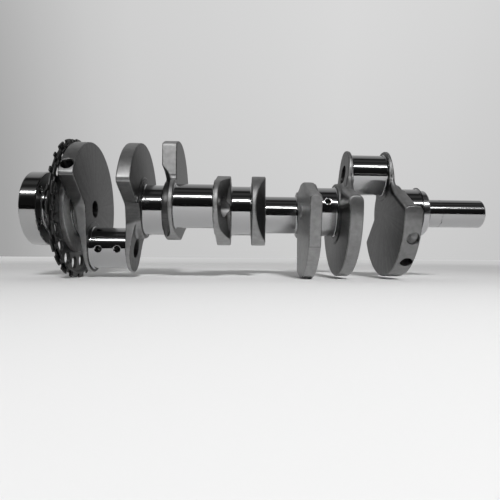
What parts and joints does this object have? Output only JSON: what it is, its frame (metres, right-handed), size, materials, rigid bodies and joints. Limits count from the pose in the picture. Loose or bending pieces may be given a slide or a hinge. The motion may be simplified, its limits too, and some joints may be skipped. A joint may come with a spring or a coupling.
{
  "type": "crankshaft",
  "caption": "Forged V8 crankshaft with ground journals, counterweights, a toothed timing wheel, a flywheel flange and a plain snout.",
  "frame": {"origin": "centre of the rear flange's bolting face, on the shaft axis", "axes": "+X along the shaft axis from the rear flange to the snout; +Z from the axis through rod journal 1, which is at the top; +Y completes the right-handed frame and points through rod journal 2"},
  "size_m": [0.5957, 0.179, 0.179],
  "materials": {
    "ground_journal": "ground and mirror polished alloy steel",
    "blasted_forging": "forged alloy steel, shot blasted and machined, satin grey",
    "timing_wheel": "black oxide coated pressed steel",
    "small_hardware": "plain turned steel"
  },
  "bodies": {
    "root": {"rear_flange": "ground_journal", "rear_bore_plug": "small_hardware", "main_journal_5": "ground_journal", "reluctor_register": "blasted_forging", "reluctor_rear_plate": "timing_wheel", "reluctor_front_plate": "timing_wheel", "reluctor_rivets": "timing_wheel", "web_8": "blasted_forging", "rod_journal_4": "ground_journal", "web_7": "blasted_forging", "main_journal_4": "ground_journal", "web_6": "blasted_forging", "rod_journal_3": "ground_journal", "web_5": "blasted_forging", "main_journal_3": "ground_journal", "web_4": "blasted_forging", "rod_journal_2": "ground_journal", "web_3": "blasted_forging", "main_journal_2": "ground_journal", "web_2": "blasted_forging", "rod_journal_1": "ground_journal", "web_1": "blasted_forging", "main_journal_1": "ground_journal", "front_hub": "ground_journal", "snout": "ground_journal", "snout_key": "small_hardware"}
  },
  "joints": []
}
